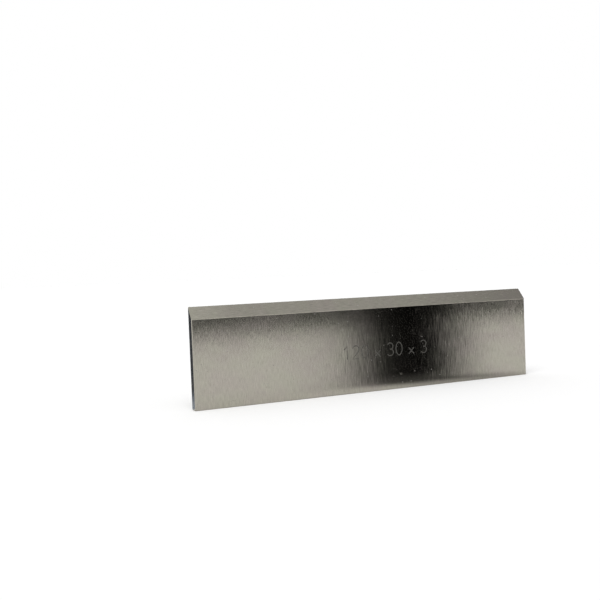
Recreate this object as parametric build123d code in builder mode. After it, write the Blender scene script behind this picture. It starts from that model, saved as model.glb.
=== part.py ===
from build123d import *
import math
import os

# Planer knife: one bar of high-speed steel, ground on every face, with one long
# edge ground to a single bevel. It stands on its square back edge.
# X runs along the knife, Y from the bevelled front face to the flat back face, and
# Z up from the back edge to the cutting edge. The origin is the middle of the back edge.

# Sizes, in millimetres
length = 120.0
width = 30.0  # from the back edge up to the cutting edge
thickness = 3.0  # from the front face to the back face
edge_break = 0.2  # chamfer that takes the burr off the back edge and the ends
heel_break = 0.1  # finer chamfer where the bevel meets the front face

# Angle of the bevel to the flat back face, in degrees
grind_angle = 40.0

# Grinding plane: through the top of the back face, leaning down to the front face
lean = math.radians(grind_angle)
grinding_plane = Plane(
    origin=(0, thickness / 2, width),
    x_dir=(1, 0, 0),
    z_dir=(0, -math.cos(lean), math.sin(lean)),
)

os.makedirs("parts", exist_ok=True)

with BuildPart() as planer_knife:
    # Blank: a flat bar that stands on its back edge
    with BuildSketch(Plane.XY):
        Rectangle(length, thickness)
    extrude(amount=width)

    # Deburring: round the back edge, and up the four corners of the square ends
    back_edge_outline = planer_knife.faces().sort_by(Axis.Z)[0].edges()
    end_corners = planer_knife.edges().filter_by(Axis.Z)
    chamfer(back_edge_outline + end_corners, edge_break)

    # Bevel: ground last, through the deburred corners, so that its edges stay keen
    split(bisect_by=grinding_plane, keep=Keep.BOTTOM)

    # Heel: the long corner where the bevel runs out on the front face
    front_face_edges = planer_knife.edges().filter_by(Axis.X).group_by(Axis.Y)[0]
    chamfer(front_face_edges.sort_by(Axis.Z)[-1], heel_break)

planer_knife.part.label = "planer_knife"
export_step(planer_knife.part, "parts/planer_knife.step")
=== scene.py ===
import math

import bpy
from mathutils import Matrix, Vector


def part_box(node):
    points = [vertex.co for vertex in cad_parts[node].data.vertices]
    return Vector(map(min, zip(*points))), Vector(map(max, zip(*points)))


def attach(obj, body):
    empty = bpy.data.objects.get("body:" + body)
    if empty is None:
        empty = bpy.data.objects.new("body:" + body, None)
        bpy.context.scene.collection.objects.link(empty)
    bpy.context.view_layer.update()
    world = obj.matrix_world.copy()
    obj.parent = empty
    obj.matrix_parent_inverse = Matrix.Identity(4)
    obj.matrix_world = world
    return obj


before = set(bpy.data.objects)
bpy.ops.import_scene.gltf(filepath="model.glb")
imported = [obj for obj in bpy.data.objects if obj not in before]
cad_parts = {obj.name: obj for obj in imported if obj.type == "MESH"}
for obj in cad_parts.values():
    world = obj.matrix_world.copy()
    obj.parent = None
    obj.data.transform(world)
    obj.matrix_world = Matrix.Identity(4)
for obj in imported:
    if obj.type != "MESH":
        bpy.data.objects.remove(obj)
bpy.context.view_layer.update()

MM = 0.001
KNIFE = "planer_knife"
knife_low, knife_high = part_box(KNIFE)
FRONT = knife_low.y

# Camera, as the photograph was taken. The place of the knife's near bottom corner is
# measured from the point on the floor straight below the lens.
IMAGE_WIDTH_PX = 600
FOCAL_PX = 803.3
LENS_HEIGHT = 39.0 * MM
PITCH_DOWN = math.radians(2.03)
ROLL = math.radians(-2.28)
KNIFE_HEADING = math.radians(24.38)
CORNER_RIGHT = -31.35 * MM
CORNER_AHEAD = 229.76 * MM


# Node trees

def node(tree, kind, inputs=None, **settings):
    """Adds a node, sets its properties, and fills its inputs with links or values."""
    made = tree.nodes.new(kind)
    for name, value in settings.items():
        setattr(made, name, value)
    for socket, value in (inputs or {}).items():
        if isinstance(value, bpy.types.NodeSocket):
            tree.links.new(value, made.inputs[socket])
        else:
            made.inputs[socket].default_value = value
    return made


def calc(tree, operation, a, b=0.0):
    """The result of one sum on two numbers."""
    return node(tree, "ShaderNodeMath", {0: a, 1: b}, operation=operation).outputs[0]


def vector_calc(tree, operation, a, b=(0.0, 0.0, 0.0)):
    """The result of one sum on two vectors: a number for a dot product, else a vector."""
    made = node(tree, "ShaderNodeVectorMath", {0: a, 1: b}, operation=operation)
    return made.outputs["Value" if operation == "DOT_PRODUCT" else "Vector"]


def scaled(tree, vector, factor):
    """The vector times one number."""
    made = node(tree, "ShaderNodeVectorMath", {0: vector, "Scale": factor}, operation="SCALE")
    return made.outputs["Vector"]


def choose(tree, mask, off, on):
    """The vector off where the mask is 0, and on where it is 1."""
    made = node(tree, "ShaderNodeMix", {0: mask, 4: off, 5: on}, data_type="VECTOR")
    return made.outputs[1]


def ramp(tree, value, start, end, low=0.0, high=1.0):
    """Goes smoothly from low to high as the value goes from start to end."""
    made = node(
        tree,
        "ShaderNodeMapRange",
        {"Value": value, "From Min": start, "From Max": end, "To Min": low, "To Max": high},
        interpolation_type="SMOOTHSTEP",
    )
    return made.outputs["Result"]


def to_world(tree, direction):
    """An object's own direction, as the shaders want it."""
    made = node(
        tree,
        "ShaderNodeVectorTransform",
        {0: direction},
        vector_type="NORMAL",
        convert_from="OBJECT",
        convert_to="WORLD",
    )
    return made.outputs[0]


def new_material(name):
    """An empty material and its node tree."""
    material = bpy.data.materials.new(name)
    material.use_nodes = True
    material.node_tree.nodes.clear()
    return material, material.node_tree


# Ground steel

STEEL = (0.433, 0.418, 0.352)
WARMER_STEEL = (0.438, 0.403, 0.36)
STEEL_ROUGHNESS = 0.17
STEEL_SMEAR = 0.75
DUST = (0.25, 0.24, 0.225)
DUST_ROUGHNESS = 0.85

# Normals this close to an axis belong to the wide faces or the ends
FACING = 0.97

# Width and length of each kind of grinding line, and how far it tilts the surface
FINE_LINE = (0.1 * MM, 5.0 * MM)
FINE_TILT = 0.5
CLEAR_LINE = (0.16 * MM, 6.0 * MM)
CLEAR_TILT = 0.5
RIPPLE = (0.22 * MM, 1.3 * MM)
RIPPLE_TILT = 0.02

# Grain along the lines that makes the steel lighter and darker
GRAIN = (0.17 * MM, 2.2 * MM)
GRAIN_SHADE = 0.5

# Patches where oil from hands has dried: their size, where the noise turns from plain to
# warmer steel, and what they do to the gloss
CLOUD = (14 * MM, 9 * MM)
CLOUD_EDGES = (-0.3, 0.3)
CLOUD_HAZE = 0.1

# Dust specks: the share of these cells that hold one, its size as a share of the cell, and
# a shift of the cells that keeps the specks off the size mark
DUST_CELL = 1.6 * MM
DUST_SHARE = 0.08
DUST_SIZE = 0.064
DUST_SHIFT = (72 * MM, -0.5 * MM, 0.0)

# Hairline scratches: how far they wander, how wide they are, and where they show
HAIR_WANDER = 4.6 * MM
HAIR_WIDTH = 0.003
HAIR_PATCH = 3.9 * MM
HAIR_SHARE = 0.22
HAIR_STRENGTH = 0.3


def grinding_axes(tree):
    """Position and two directions on each face: across its grinding lines, and along them.

    The lines run up the two wide faces, along the bevel and the back edge, and up the ends.
    """
    place = node(tree, "ShaderNodeTexCoord")
    position, normal = place.outputs["Object"], place.outputs["Normal"]
    parts = node(tree, "ShaderNodeSeparateXYZ", {0: normal})
    is_wide = calc(tree, "GREATER_THAN", calc(tree, "ABSOLUTE", parts.outputs["Y"]), FACING)
    is_end = calc(tree, "GREATER_THAN", calc(tree, "ABSOLUTE", parts.outputs["X"]), FACING)
    up_slope = vector_calc(
        tree, "NORMALIZE", vector_calc(tree, "CROSS_PRODUCT", normal, (1.0, 0.0, 0.0))
    )
    narrow = choose(tree, is_end, up_slope, (0.0, 1.0, 0.0))
    across = choose(tree, is_wide, narrow, (1.0, 0.0, 0.0))
    along = vector_calc(tree, "CROSS_PRODUCT", normal, across)
    return position, normal, across, along


def on_face(tree, position, across, along):
    """A point's place on its own face, in metres."""
    u = vector_calc(tree, "DOT_PRODUCT", position, across)
    v = vector_calc(tree, "DOT_PRODUCT", position, along)
    return node(tree, "ShaderNodeCombineXYZ", {0: u, 1: v}).outputs[0]


def streaks(tree, face, size, detail=2.0):
    """Noise about zero, drawn out to a given width and length."""
    noise = node(
        tree,
        "ShaderNodeTexNoise",
        {
            "Vector": vector_calc(tree, "DIVIDE", face, (*size, 1.0)),
            "Scale": 1.0,
            "Detail": detail,
            "Roughness": 0.7,
        },
        noise_dimensions="2D",
    )
    return calc(tree, "SUBTRACT", noise.outputs["Fac"], 0.5)


def dust(tree, face):
    """1 on a few small round specks, and 0 between them."""
    shifted = vector_calc(tree, "ADD", face, DUST_SHIFT)
    cells = node(
        tree,
        "ShaderNodeTexVoronoi",
        {
            "Vector": vector_calc(tree, "DIVIDE", shifted, (DUST_CELL, DUST_CELL, 1.0)),
            "Scale": 1.0,
        },
        voronoi_dimensions="2D",
    )
    chance = node(tree, "ShaderNodeSeparateXYZ", {0: cells.outputs["Color"]})
    held = calc(tree, "LESS_THAN", chance.outputs["X"], DUST_SHARE)
    size = calc(tree, "MULTIPLY", calc(tree, "ADD", chance.outputs["Y"], 0.5), DUST_SIZE)
    return calc(tree, "MULTIPLY", held, calc(tree, "LESS_THAN", cells.outputs["Distance"], size))


def hairlines(tree, face):
    """Above 0 on a few fine wandering scratches, and 0 between them."""
    wander = streaks(tree, face, (HAIR_WANDER, HAIR_WANDER), 1.0)
    patch = streaks(tree, face, (HAIR_PATCH, HAIR_PATCH), 0.0)
    on_line = calc(tree, "LESS_THAN", calc(tree, "ABSOLUTE", wander), HAIR_WIDTH)
    shown = calc(tree, "GREATER_THAN", patch, HAIR_SHARE)
    return calc(tree, "MULTIPLY", on_line, calc(tree, "MULTIPLY", shown, HAIR_STRENGTH))


def ground_normal(tree, normal, across, along, tilt_across, tilt_along):
    """The face's normal, tilted by its grinding lines."""
    lean = vector_calc(
        tree, "ADD", scaled(tree, across, tilt_across), scaled(tree, along, tilt_along)
    )
    return vector_calc(tree, "NORMALIZE", vector_calc(tree, "ADD", normal, lean))


def ground_steel():
    """Steel as a surface grinder leaves it: fine lines that smear reflections one way."""
    material, tree = new_material("ground_steel")
    position, normal, across, along = grinding_axes(tree)
    face = on_face(tree, position, across, along)
    fine = streaks(tree, face, FINE_LINE)
    clear = streaks(tree, face, CLEAR_LINE, 3.0)
    ripple = streaks(tree, face, RIPPLE, 1.0)
    grain = streaks(tree, face, GRAIN, 1.0)
    cloud = streaks(tree, face, CLOUD)
    dirt = calc(tree, "MAXIMUM", dust(tree, face), hairlines(tree, face))

    tilt_across = calc(
        tree,
        "ADD",
        calc(tree, "MULTIPLY", fine, FINE_TILT),
        calc(tree, "MULTIPLY", clear, CLEAR_TILT),
    )
    tilt_along = calc(tree, "MULTIPLY", ripple, RIPPLE_TILT)
    tilted = ground_normal(tree, normal, across, along, tilt_across, tilt_along)

    tint = choose(tree, ramp(tree, cloud, *CLOUD_EDGES), STEEL, WARMER_STEEL)
    shade = calc(tree, "ADD", calc(tree, "MULTIPLY", grain, GRAIN_SHADE), 1.0)
    gloss = calc(tree, "ADD", calc(tree, "MULTIPLY", cloud, CLOUD_HAZE), STEEL_ROUGHNESS)
    steel = node(
        tree,
        "ShaderNodeBsdfPrincipled",
        {
            "Base Color": choose(tree, dirt, scaled(tree, tint, shade), DUST),
            "Metallic": calc(tree, "SUBTRACT", 1.0, dirt),
            "Roughness": calc(tree, "MAXIMUM", gloss, calc(tree, "MULTIPLY", dirt, DUST_ROUGHNESS)),
            "Anisotropic": STEEL_SMEAR,
            "Tangent": to_world(tree, across),
            "Normal": to_world(tree, tilted),
        },
    )
    node(tree, "ShaderNodeOutputMaterial", {"Surface": steel.outputs[0]})
    return material


# Size mark, etched by a laser in single thin strokes: length, width and thickness in mm

MARK_HEIGHT = 4.1 * MM
MARK_BASELINE = 10.9 * MM
MARK_START = -11.5 * MM
MARK_STROKE = 0.36 * MM
MARK_RELIEF = 0.02 * MM
GLYPH_WIDTH = 0.56
CROSS_SIZE = 0.5
GLYPH_GAP = 0.24
WORD_GAP = 0.36
ETCHED = (0.13, 0.124, 0.112)
ETCHED_METALLIC = 0.5
ETCHED_ROUGHNESS = 0.4
ETCH_GRAIN = 0.15 * MM


def arc(centre, radii, start, end, steps=14):
    """Points on part of an ellipse, with angles in degrees."""
    points = []
    for i in range(steps + 1):
        angle = math.radians(start + (end - start) * i / steps)
        points.append(
            (centre[0] + radii[0] * math.cos(angle), centre[1] + radii[1] * math.sin(angle))
        )
    return points


def glyph_strokes():
    """Each figure's strokes, with its height taken as 1."""
    w = GLYPH_WIDTH
    half = w / 2
    c = CROSS_SIZE
    six = [arc((half, 0.3), (half, 0.3), 0, 360, 28), arc((w, 0.3), (w, 0.7), 90, 180)]
    return {
        "0": [arc((half, 0.5), (half, 0.5), 90, 450, 28)],
        "1": [[(0.1 * w, 0.74), (0.6 * w, 1.0), (0.6 * w, 0.0)]],
        "2": [arc((half, 0.72), (half, 0.28), 160, -35) + [(0.0, 0.0), (w, 0.0)]],
        "3": [
            arc((half, 0.74), (0.9 * half, 0.26), 150, -90),
            arc((half, 0.26), (half, 0.26), 90, -150),
        ],
        "4": [[(w, 0.3), (0.0, 0.3), (0.75 * w, 1.0), (0.75 * w, 0.0)]],
        "5": [[(0.9 * w, 1.0), (0.15 * w, 1.0)] + arc((half, 0.32), (half, 0.32), 130, -150)],
        "6": six,
        "7": [[(0.0, 1.0), (w, 1.0), (0.3 * w, 0.0)]],
        "8": [
            arc((half, 0.76), (0.85 * half, 0.24), -90, 270, 28),
            arc((half, 0.26), (half, 0.26), 90, 450, 28),
        ],
        "9": [[(w - x, 1.0 - z) for x, z in stroke] for stroke in six],
        "x": [[(0.0, 0.0), (c, c)], [(0.0, c), (c, 0.0)]],
    }


def make_mark():
    """The knife's size, etched in the front face as fine matt lines."""
    sizes = [round((high - low) / MM) for low, high in zip(knife_low, knife_high)]
    text = f"{sizes[0]} x {sizes[2]} x {sizes[1]}"
    curve = bpy.data.curves.new("size_mark", "CURVE")
    curve.dimensions = "3D"
    curve.bevel_depth = MARK_STROKE / 2
    curve.bevel_resolution = 1
    curve.use_fill_caps = True
    strokes = glyph_strokes()
    pen = MARK_START
    for letter in text:
        if letter == " ":
            pen += WORD_GAP * MARK_HEIGHT
            continue
        for points in strokes[letter]:
            spline = curve.splines.new("POLY")
            spline.points.add(len(points) - 1)
            for spot, (x, z) in zip(spline.points, points):
                spot.co = (pen + x * MARK_HEIGHT, 0.0, MARK_BASELINE + z * MARK_HEIGHT, 1.0)
        width = CROSS_SIZE if letter == "x" else GLYPH_WIDTH
        pen += (width + GLYPH_GAP) * MARK_HEIGHT

    drawn = bpy.data.objects.new("size_mark_strokes", curve)
    mesh = bpy.data.meshes.new_from_object(drawn)
    bpy.data.objects.remove(drawn)
    flatten = Matrix.Diagonal((1.0, MARK_RELIEF / MARK_STROKE, 1.0, 1.0))
    mesh.transform(Matrix.Translation((0, FRONT, 0)) @ flatten)
    mesh.materials.clear()
    mesh.materials.append(etched_steel())
    mark = bpy.data.objects.new("size_mark", mesh)
    bpy.context.scene.collection.objects.link(mark)
    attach(mark, "root")


def etched_steel():
    """Steel burnt matt by a laser: part oxide, part metal, with a fine grain."""
    material, tree = new_material("etched_steel")
    place = node(tree, "ShaderNodeTexCoord")
    grain = node(
        tree,
        "ShaderNodeTexNoise",
        {"Vector": place.outputs["Object"], "Scale": 1 / ETCH_GRAIN, "Detail": 2.0},
    )
    shade = calc(tree, "ADD", calc(tree, "MULTIPLY", grain.outputs["Fac"], 0.5), 0.75)
    steel = node(
        tree,
        "ShaderNodeBsdfPrincipled",
        {
            "Base Color": scaled(tree, ETCHED, shade),
            "Metallic": ETCHED_METALLIC,
            "Roughness": ETCHED_ROUGHNESS,
        },
    )
    node(tree, "ShaderNodeOutputMaterial", {"Surface": steel.outputs[0]})
    return material


def finish_knife():
    """Gives the knife its ground finish."""
    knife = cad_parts[KNIFE]
    knife.data.materials.clear()
    knife.data.materials.append(ground_steel())


# Studio: a white floor, soft light, and cards that only reflections see

FLOOR_HALF = 6.0
PAPER = (0.93, 0.93, 0.93, 1.0)
FLOOR_LIFT = 0.11
SUN_ELEVATION = math.radians(58)
SUN_HEADING = math.radians(-35)
SUN_STRENGTH = 1.6
SUN_SOFTNESS = math.radians(45)
ROOM_LIGHT = 0.55

CARD_LIFT = 0.1 * MM

# Shade card: painted shade, a dark see-through sheet that only reflections see, darkening the front
# face. Where it thickens from the left, in two layers, and thins out again to the right
SHADE_CARD_VEIL = (-32 * MM, 22 * MM)
SHADE_CARD_VEIL_SHARE = 0.4
SHADE_CARD_CORE = (-12 * MM, 12 * MM)
SHADE_CARD_RIGHT = (60 * MM, 28 * MM)

# How far in front of the face it stands, and how it thins out at its foot and nearer in; the part
# that lies on the floor is a painted shadow there
SHADE_CARD_GAP = 14 * MM
SHADE_CARD_TOP = 32 * MM
SHADE_CARD_SLANT = 18 * MM
SHADE_CARD_NEAR_SHARE = 0.35
SHADE_CARD_FOOT_SHARE = 0.93
SHADE_CARD_FOOT_HEIGHT = 3 * MM
SHADE_CARD_GLOW = 0.004

# End card, seen only in reflections of the near end: painted shade, with a painted shadow on the
# part that lies on the floor. How far it stands from the near end, and where it darkens along its
# bend
END_CARD_SPAN = (-6 * MM, -0.15 * MM)
END_CARD_DEPTH = (1.6 * MM, 3.6 * MM)
END_CARD_TOP = 32 * MM
END_CARD_FADE = (4 * MM, 10 * MM)
END_CARD_GLOW = (0.4, 0.07)
END_CARD_TINT = (0.85, 0.97, 1.2, 1.0)

# Shade strips: painted shade, a low dark band that only reflections see, in front of and behind the
# knife
SHADE_STRIP_HALF = (450 * MM, 269 * MM)
SHADE_STRIP_TOP = 50 * MM
SHADE_STRIP_GLOW = 0.1

# Ceiling: painted light, a glowing card that only reflections see, darker to the right
CEILING_HALF = 1.2
CEILING_FRONT = -0.6
CEILING_HEIGHT = 0.5
CEILING_FADE = (0.26, 0.5)
CEILING_GLOW = (0.59, 0.37)
CEILING_EDGE = (0.12, 0.1)
CEILING_EDGE_GLOW = 0.15


def mesh_object(name, corners, faces, material):
    """A mesh object in the scene's collection."""
    mesh = bpy.data.meshes.new(name)
    mesh.from_pydata(corners, [], faces)
    mesh.materials.append(material)
    made = bpy.data.objects.new(name, mesh)
    bpy.context.scene.collection.objects.link(made)
    return made


def floor_material():
    """White paper that comes out white to the camera and keeps the knife's shadow."""
    material, tree = new_material("floor_paper")
    path = node(tree, "ShaderNodeLightPath")
    paper = node(tree, "ShaderNodeBsdfDiffuse", {"Color": PAPER})
    glow = calc(tree, "MULTIPLY", path.outputs["Is Camera Ray"], FLOOR_LIFT)
    lift = node(tree, "ShaderNodeEmission", {"Strength": glow})
    both = node(tree, "ShaderNodeAddShader", {0: paper.outputs[0], 1: lift.outputs[0]})
    node(tree, "ShaderNodeOutputMaterial", {"Surface": both.outputs[0]})
    return material


def make_floor():
    """A floor that reaches past anything the camera sees."""
    h = FLOOR_HALF
    floor = mesh_object(
        "floor",
        [(-h, -h, 0), (h, -h, 0), (h, h, 0), (-h, h, 0)],
        [(0, 1, 2, 3)],
        floor_material(),
    )


def glow_material(name, make_strength, tint=(1.0, 1.0, 1.0, 1.0)):
    """A plain glow, as strong as a function of the tree and a position makes it."""
    material, tree = new_material(name)
    place = node(tree, "ShaderNodeTexCoord")
    parts = node(tree, "ShaderNodeSeparateXYZ", {0: place.outputs["Object"]})
    strength = make_strength(tree, parts.outputs)
    glow = node(tree, "ShaderNodeEmission", {"Color": tint, "Strength": strength})
    node(tree, "ShaderNodeOutputMaterial", {"Surface": glow.outputs[0]})
    return material


def shade_card_material():
    """Painted shade: a black see-through sheet, thickest in its middle, that thins out at its foot
    and nearer in.
    """
    material, tree = new_material("shade_card")
    place = node(tree, "ShaderNodeTexCoord")
    parts = node(tree, "ShaderNodeSeparateXYZ", {0: place.outputs["Object"]})
    nearness = ramp(tree, parts.outputs["Y"], FRONT - SHADE_CARD_GAP, FRONT)
    slanted = calc(
        tree, "SUBTRACT", parts.outputs["X"], calc(tree, "MULTIPLY", nearness, SHADE_CARD_SLANT)
    )
    veil = ramp(tree, slanted, *SHADE_CARD_VEIL, 0.0, SHADE_CARD_VEIL_SHARE)
    core = ramp(tree, slanted, *SHADE_CARD_CORE, 0.0, 1.0 - SHADE_CARD_VEIL_SHARE)
    sides = calc(
        tree, "MULTIPLY", calc(tree, "ADD", veil, core), ramp(tree, slanted, *SHADE_CARD_RIGHT)
    )
    lying = ramp(tree, nearness, 1.0, 0.0, SHADE_CARD_NEAR_SHARE, SHADE_CARD_FOOT_SHARE)
    rise = ramp(
        tree, parts.outputs["Z"], CARD_LIFT, SHADE_CARD_FOOT_HEIGHT, 0.0, 1.0 - SHADE_CARD_FOOT_SHARE
    )
    thick = calc(tree, "MULTIPLY", sides, calc(tree, "ADD", lying, rise))
    clear = node(tree, "ShaderNodeBsdfTransparent")
    dark = node(tree, "ShaderNodeEmission", {"Strength": SHADE_CARD_GLOW})
    both = node(tree, "ShaderNodeMixShader", {0: thick, 1: clear.outputs[0], 2: dark.outputs[0]})
    node(tree, "ShaderNodeOutputMaterial", {"Surface": both.outputs[0]})
    return material


def reflected_only(card):
    """Leaves the card in reflections and nowhere else."""
    card.visible_camera = False
    card.visible_diffuse = False
    card.visible_shadow = False
    card.visible_transmission = False


def make_bent_card(name, left, right, near, far, top, material):
    """A card that lies on the floor from near to far, and stands up from there."""
    profile = [(near, CARD_LIFT), (far, CARD_LIFT), (far, top)]
    corners = [(x, y, z) for y, z in profile for x in (left, right)]
    reflected_only(mesh_object(name, corners, [(0, 1, 3, 2), (2, 3, 5, 4)], material))


def make_shade_card():
    """Painted shade close in front of the face: a dark card that only its reflections show."""
    left, right = SHADE_CARD_VEIL[0], SHADE_CARD_RIGHT[0] + SHADE_CARD_SLANT
    far = FRONT - SHADE_CARD_GAP
    make_bent_card("shade_card", left, right, FRONT, far, SHADE_CARD_TOP, shade_card_material())


def end_card_strength(tree, place):
    """Painted shade: darker away from the knife, and on up the card."""
    return ramp(tree, calc(tree, "ADD", place["Y"], place["Z"]), *END_CARD_FADE, *END_CARD_GLOW)


def make_end_card():
    """Painted shade behind the near end: a dark card seen only in its end face."""
    left, right = (knife_low.x + x for x in END_CARD_SPAN)
    material = glow_material("end_card", end_card_strength, END_CARD_TINT)
    make_bent_card("end_card", left, right, *END_CARD_DEPTH, END_CARD_TOP, material)


def make_shade_strips():
    """Two dark strips on edge, one in front and one behind, seen only in the top of the wide faces:
    painted shade in their reflections.
    """
    x, y = SHADE_STRIP_HALF
    corners = [
        (side * x, end * y, z)
        for end in (-1, 1)
        for side, z in ((-1, 0.0), (1, 0.0), (1, SHADE_STRIP_TOP), (-1, SHADE_STRIP_TOP))
    ]
    material = glow_material("shade_strips", lambda tree, place: SHADE_STRIP_GLOW)
    reflected_only(mesh_object("shade_strips", corners, [(0, 1, 2, 3), (4, 5, 6, 7)], material))


def ceiling_strength(tree, place):
    """Painted light: darker to the right, and a little lighter past an edge on the left."""
    fade = ramp(tree, place["X"], *CEILING_FADE, *CEILING_GLOW)
    return calc(tree, "ADD", fade, ramp(tree, place["X"], *CEILING_EDGE, 0.0, CEILING_EDGE_GLOW))


def make_ceiling():
    """A glowing ceiling card seen only in reflections, in the bevel: painted reflected light."""
    h = CEILING_HALF
    corners = [
        (-h, CEILING_FRONT, CEILING_HEIGHT),
        (h, CEILING_FRONT, CEILING_HEIGHT),
        (h, h, CEILING_HEIGHT),
        (-h, h, CEILING_HEIGHT),
    ]
    material = glow_material("ceiling", ceiling_strength)
    reflected_only(mesh_object("ceiling", corners, [(0, 1, 2, 3)], material))


def make_light():
    """Even light from all round, and a soft sun from the upper left."""
    sun_data = bpy.data.lights.new("sun", "SUN")
    sun_data.energy = SUN_STRENGTH
    sun_data.angle = SUN_SOFTNESS
    sun = bpy.data.objects.new("sun", sun_data)
    bpy.context.scene.collection.objects.link(sun)
    towards = Vector(
        (
            math.sin(SUN_HEADING) * math.cos(SUN_ELEVATION),
            -math.cos(SUN_HEADING) * math.cos(SUN_ELEVATION),
            math.sin(SUN_ELEVATION),
        )
    )
    sun.rotation_mode = "QUATERNION"
    sun.rotation_quaternion = towards.to_track_quat("Z", "Y")
    sun.visible_glossy = False

    world = bpy.data.worlds.new("studio")
    bpy.context.scene.world = world
    world.use_nodes = True
    tree = world.node_tree
    tree.nodes.clear()
    path = node(tree, "ShaderNodeLightPath")
    seen = calc(
        tree,
        "MAXIMUM",
        path.outputs["Is Camera Ray"],
        calc(tree, "MAXIMUM", path.outputs["Is Glossy Ray"], path.outputs["Is Transmission Ray"]),
    )
    strength = calc(tree, "ADD", calc(tree, "MULTIPLY", seen, 1.0 - ROOM_LIGHT), ROOM_LIGHT)
    white = node(
        tree, "ShaderNodeBackground", {"Color": (1.0, 1.0, 1.0, 1.0), "Strength": strength}
    )
    node(tree, "ShaderNodeOutputWorld", {"Surface": white.outputs[0]})


def make_camera():
    """The photograph's camera, worked out from where the knife stood in front of it."""
    data = bpy.data.cameras.new("camera")
    data.lens = data.sensor_width * FOCAL_PX / IMAGE_WIDTH_PX
    data.clip_start = 5 * MM
    camera = bpy.data.objects.new("camera", data)
    bpy.context.scene.collection.objects.link(camera)

    ahead = Vector((0, math.cos(PITCH_DOWN), -math.sin(PITCH_DOWN)))
    right = Vector((1, 0, 0))
    up = right.cross(ahead)
    rolled_right = math.cos(ROLL) * right + math.sin(ROLL) * up
    rolled_up = math.cos(ROLL) * up - math.sin(ROLL) * right
    turn = Matrix((rolled_right, rolled_up, -ahead)).transposed()

    to_knife = Matrix.Rotation(-KNIFE_HEADING, 3, "Z")
    near_corner = Vector((knife_low.x, knife_low.y, 0))
    lens = near_corner - to_knife @ Vector((CORNER_RIGHT, CORNER_AHEAD, 0))
    lens.z = LENS_HEIGHT
    camera.matrix_world = Matrix.Translation(lens) @ (to_knife @ turn).to_4x4()
    bpy.context.scene.camera = camera


finish_knife()
make_mark()
make_floor()
make_shade_card()
make_end_card()
make_shade_strips()
make_ceiling()
make_light()
make_camera()
bpy.context.scene.view_settings.view_transform = "Standard"
